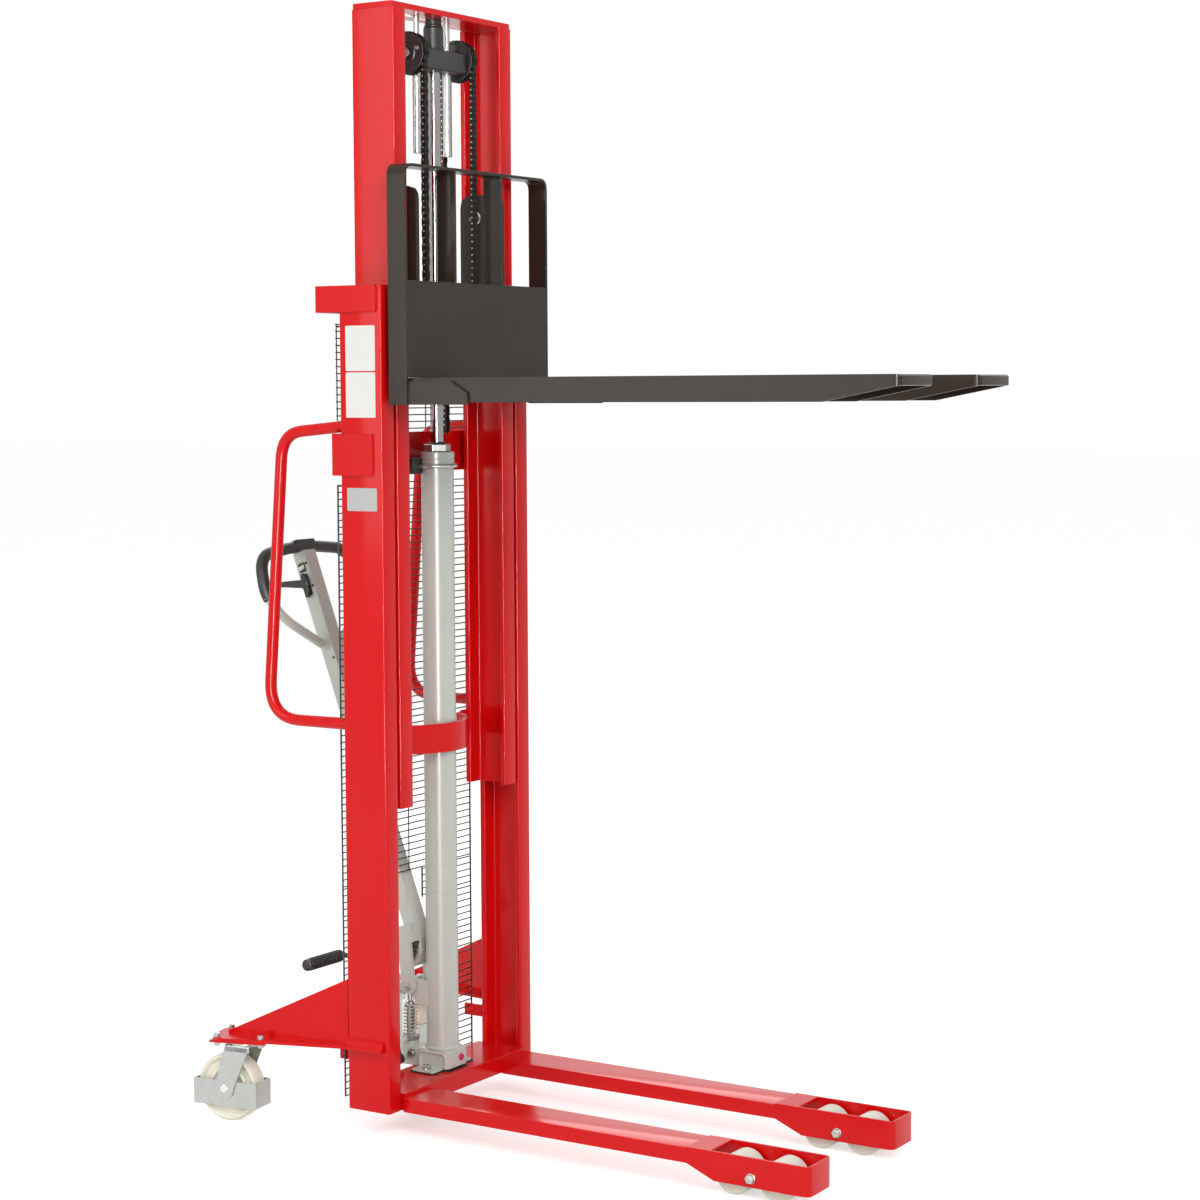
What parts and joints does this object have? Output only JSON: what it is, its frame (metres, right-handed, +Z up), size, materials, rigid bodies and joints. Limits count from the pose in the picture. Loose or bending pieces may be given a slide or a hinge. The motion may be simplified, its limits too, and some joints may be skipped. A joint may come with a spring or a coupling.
{
  "type": "walkie stacker",
  "caption": "Manual hydraulic walkie stacker: a two-stage channel mast with chain lift, forks over straddle legs, a pump tiller, swivel casters and a wire guard.",
  "frame": {"origin": "on the floor, under the middle of the machine's length and width", "axes": "+X along the forks towards their tips, +Y to the machine's left, +Z up"},
  "size_m": [1.6901, 0.7704, 2.4243],
  "materials": {
    "red_paint": "gloss powder coat",
    "carriage_paint": "satin powder coat",
    "grey_paint": "semi-gloss paint",
    "black_paint": "satin paint",
    "zinc_plate": "bright zinc plate",
    "chrome": "ground and chromed",
    "cream_nylon": "moulded nylon",
    "white_nylon": "moulded nylon",
    "grip_rubber": "soft moulded grip",
    "black_plastic": "moulded",
    "chain_steel": "oiled steel",
    "spring_steel": "yellow zinc plate"
  },
  "bodies": {
    "chassis": {"outer_mast_left": "red_paint", "outer_mast_right": "red_paint", "base_plate": "red_paint", "support_leg_left": "red_paint", "support_leg_right": "red_paint", "outrigger_left": "red_paint", "outrigger_right": "red_paint", "grab_handle_left": "red_paint", "grab_handle_right": "red_paint", "top_tie": "red_paint", "cylinder_tie": "red_paint", "mesh_guard_upper": "black_paint", "mesh_guard_lower": "black_paint", "cylinder_tube": "grey_paint", "gland_nut": "zinc_plate", "cylinder_base": "grey_paint", "clamp_block": "black_paint", "pump_bracket": "grey_paint", "pump_body": "grey_paint", "chain_rear_left": "chain_steel", "chain_rear_right": "chain_steel", "pump_spring": "spring_steel"},
    "inner_mast": {"inner_mast_left": "red_paint", "inner_mast_right": "red_paint", "inner_top_bar": "red_paint", "inner_brace": "red_paint"},
    "lift_head": {"crosshead": "black_paint", "lift_rod": "chrome"},
    "front_chains": {"chain_front_left": "chain_steel", "chain_front_right": "chain_steel"},
    "carriage": {"carriage_frame": "carriage_paint", "load_hoop": "carriage_paint", "back_plate": "carriage_paint", "fork_left": "carriage_paint", "fork_right": "carriage_paint"},
    "sheave_left": {"sheave_left": "black_paint"},
    "mast_roller_lower_left": {"mast_roller_lower_left": "zinc_plate"},
    "carriage_roller_lower_left": {"carriage_roller_lower_left": "zinc_plate"},
    "mast_roller_upper_left": {"mast_roller_upper_left": "zinc_plate"},
    "carriage_roller_upper_left": {"carriage_roller_upper_left": "zinc_plate"},
    "caster_swivel_left": {"caster_fork_left": "zinc_plate"},
    "caster_wheel_left": {"caster_wheel_left": "cream_nylon"},
    "bogie_left": {"bogie_left": "zinc_plate"},
    "load_roller_rear_left": {"load_roller_rear_left": "white_nylon"},
    "load_roller_front_left": {"load_roller_front_left": "white_nylon"},
    "sheave_right": {"sheave_right": "black_paint"},
    "mast_roller_lower_right": {"mast_roller_lower_right": "zinc_plate"},
    "carriage_roller_lower_right": {"carriage_roller_lower_right": "zinc_plate"},
    "mast_roller_upper_right": {"mast_roller_upper_right": "zinc_plate"},
    "carriage_roller_upper_right": {"carriage_roller_upper_right": "zinc_plate"},
    "caster_swivel_right": {"caster_fork_right": "zinc_plate"},
    "caster_wheel_right": {"caster_wheel_right": "cream_nylon"},
    "bogie_right": {"bogie_right": "zinc_plate"},
    "load_roller_rear_right": {"load_roller_rear_right": "white_nylon"},
    "load_roller_front_right": {"load_roller_front_right": "white_nylon"},
    "tiller": {"tiller_shaft": "grey_paint", "tiller_bow": "grip_rubber"},
    "control_lever": {"control_lever": "black_plastic"},
    "pump_plunger": {"pump_plunger": "chrome"},
    "foot_pedal": {"foot_pedal": "black_plastic"}
  },
  "joints": [
    {"name": "mast_lift", "type": "slide", "parent": "chassis", "child": "inner_mast", "axis": [0, 0, 1], "range_m": [-0.596, 0.36], "deforming": ["chain_rear_left", "chain_rear_right"]},
    {"name": "free_lift", "type": "slide", "parent": "inner_mast", "child": "lift_head", "axis": [0, 0, 1], "range_m": [-0.175, 0]},
    {"name": "chain_run", "type": "slide", "parent": "lift_head", "child": "front_chains", "axis": [0, 0, 1], "range_m": [-0.6, 0.365], "deforming": ["chain_front_left", "chain_front_right"]},
    {"name": "carriage_lift", "type": "slide", "parent": "front_chains", "child": "carriage", "axis": [0, 0, 1], "range_m": [-0.18, 0.002]},
    {"name": "sheave_left_spin", "type": "hinge", "parent": "lift_head", "child": "sheave_left", "pos_m": [-0.4045, 0.09, 2.331], "axis": [0, -1, 0], "range_deg": [-860, 630]},
    {"name": "mast_roller_lower_left_spin", "type": "hinge", "parent": "inner_mast", "child": "mast_roller_lower_left", "pos_m": [-0.4045, 0.2425, 0.7525], "axis": [0, 1, 0], "continuous": true},
    {"name": "carriage_roller_lower_left_spin", "type": "hinge", "parent": "carriage", "child": "carriage_roller_lower_left", "pos_m": [-0.4045, 0.1885, 1.69], "axis": [0, 1, 0], "continuous": true},
    {"name": "mast_roller_upper_left_spin", "type": "hinge", "parent": "inner_mast", "child": "mast_roller_upper_left", "pos_m": [-0.4045, 0.2425, 1.2], "axis": [0, 1, 0], "continuous": true},
    {"name": "carriage_roller_upper_left_spin", "type": "hinge", "parent": "carriage", "child": "carriage_roller_upper_left", "pos_m": [-0.4045, 0.1885, 1.992], "axis": [0, 1, 0], "continuous": true},
    {"name": "caster_swivel_left_turn", "type": "hinge", "parent": "chassis", "child": "caster_swivel_left", "pos_m": [-0.711, 0.316, 0.15], "axis": [0, 0, 1], "continuous": true},
    {"name": "caster_wheel_left_spin", "type": "hinge", "parent": "caster_swivel_left", "child": "caster_wheel_left", "pos_m": [-0.74863, 0.32129, 0.075], "axis": [0.1392, 0.9903, 0], "continuous": true},
    {"name": "bogie_left_rock", "type": "hinge", "parent": "chassis", "child": "bogie_left", "pos_m": [0.5175, 0.187, 0.045], "axis": [0, 1, 0], "range_deg": [-6, 6]},
    {"name": "load_roller_rear_left_spin", "type": "hinge", "parent": "bogie_left", "child": "load_roller_rear_left", "pos_m": [0.468, 0.187, 0.04], "axis": [0, 1, 0], "continuous": true},
    {"name": "load_roller_front_left_spin", "type": "hinge", "parent": "bogie_left", "child": "load_roller_front_left", "pos_m": [0.567, 0.187, 0.04], "axis": [0, 1, 0], "continuous": true},
    {"name": "sheave_right_spin", "type": "hinge", "parent": "lift_head", "child": "sheave_right", "pos_m": [-0.4045, -0.09, 2.331], "axis": [0, -1, 0], "range_deg": [-860, 630]},
    {"name": "mast_roller_lower_right_spin", "type": "hinge", "parent": "inner_mast", "child": "mast_roller_lower_right", "pos_m": [-0.4045, -0.2425, 0.7525], "axis": [0, 1, 0], "continuous": true},
    {"name": "carriage_roller_lower_right_spin", "type": "hinge", "parent": "carriage", "child": "carriage_roller_lower_right", "pos_m": [-0.4045, -0.1885, 1.69], "axis": [0, 1, 0], "continuous": true},
    {"name": "mast_roller_upper_right_spin", "type": "hinge", "parent": "inner_mast", "child": "mast_roller_upper_right", "pos_m": [-0.4045, -0.2425, 1.2], "axis": [0, 1, 0], "continuous": true},
    {"name": "carriage_roller_upper_right_spin", "type": "hinge", "parent": "carriage", "child": "carriage_roller_upper_right", "pos_m": [-0.4045, -0.1885, 1.992], "axis": [0, 1, 0], "continuous": true},
    {"name": "caster_swivel_right_turn", "type": "hinge", "parent": "chassis", "child": "caster_swivel_right", "pos_m": [-0.711, -0.316, 0.15], "axis": [0, 0, 1], "continuous": true},
    {"name": "caster_wheel_right_spin", "type": "hinge", "parent": "caster_swivel_right", "child": "caster_wheel_right", "pos_m": [-0.74863, -0.32129, 0.075], "axis": [-0.1392, 0.9903, 0], "continuous": true},
    {"name": "bogie_right_rock", "type": "hinge", "parent": "chassis", "child": "bogie_right", "pos_m": [0.5175, -0.187, 0.045], "axis": [0, 1, 0], "range_deg": [-6, 6]},
    {"name": "load_roller_rear_right_spin", "type": "hinge", "parent": "bogie_right", "child": "load_roller_rear_right", "pos_m": [0.468, -0.187, 0.04], "axis": [0, 1, 0], "continuous": true},
    {"name": "load_roller_front_right_spin", "type": "hinge", "parent": "bogie_right", "child": "load_roller_front_right", "pos_m": [0.567, -0.187, 0.04], "axis": [0, 1, 0], "continuous": true},
    {"name": "tiller_pump", "type": "hinge", "parent": "chassis", "child": "tiller", "pos_m": [-0.467, 0, 0.275], "axis": [0, -1, 0], "range_deg": [0, 60], "stiffness_Nm_per_rad": 40, "springref_deg": -34.38},
    {"name": "lever_tilt", "type": "hinge", "parent": "tiller", "child": "control_lever", "pos_m": [-0.75814, -0.027, 1.16956], "axis": [0, -1, 0], "range_deg": [-12, 18], "stiffness_Nm_per_rad": 1},
    {"name": "plunger_stroke", "type": "slide", "parent": "chassis", "child": "pump_plunger", "axis": [0, 0, 1], "range_m": [-0.031, 0], "deforming": ["pump_spring"]},
    {"name": "pedal_press", "type": "hinge", "parent": "chassis", "child": "foot_pedal", "pos_m": [-0.481, -0.062, 0.112], "axis": [0, -1, 0], "range_deg": [0, 18], "stiffness_Nm_per_rad": 8, "springref_deg": -28.65}
  ],
  "couplings": [
    {"joint": "chain_run", "follows": "mast_lift", "ratio": 1},
    {"joint": "carriage_lift", "follows": "free_lift", "ratio": 1},
    {"joint": "sheave_left_spin", "follows": "mast_lift", "rad_per_m": 25},
    {"joint": "sheave_right_spin", "follows": "mast_lift", "rad_per_m": 25},
    {"joint": "plunger_stroke", "follows": "tiller_pump", "m_per_rad": -0.029}
  ]
}
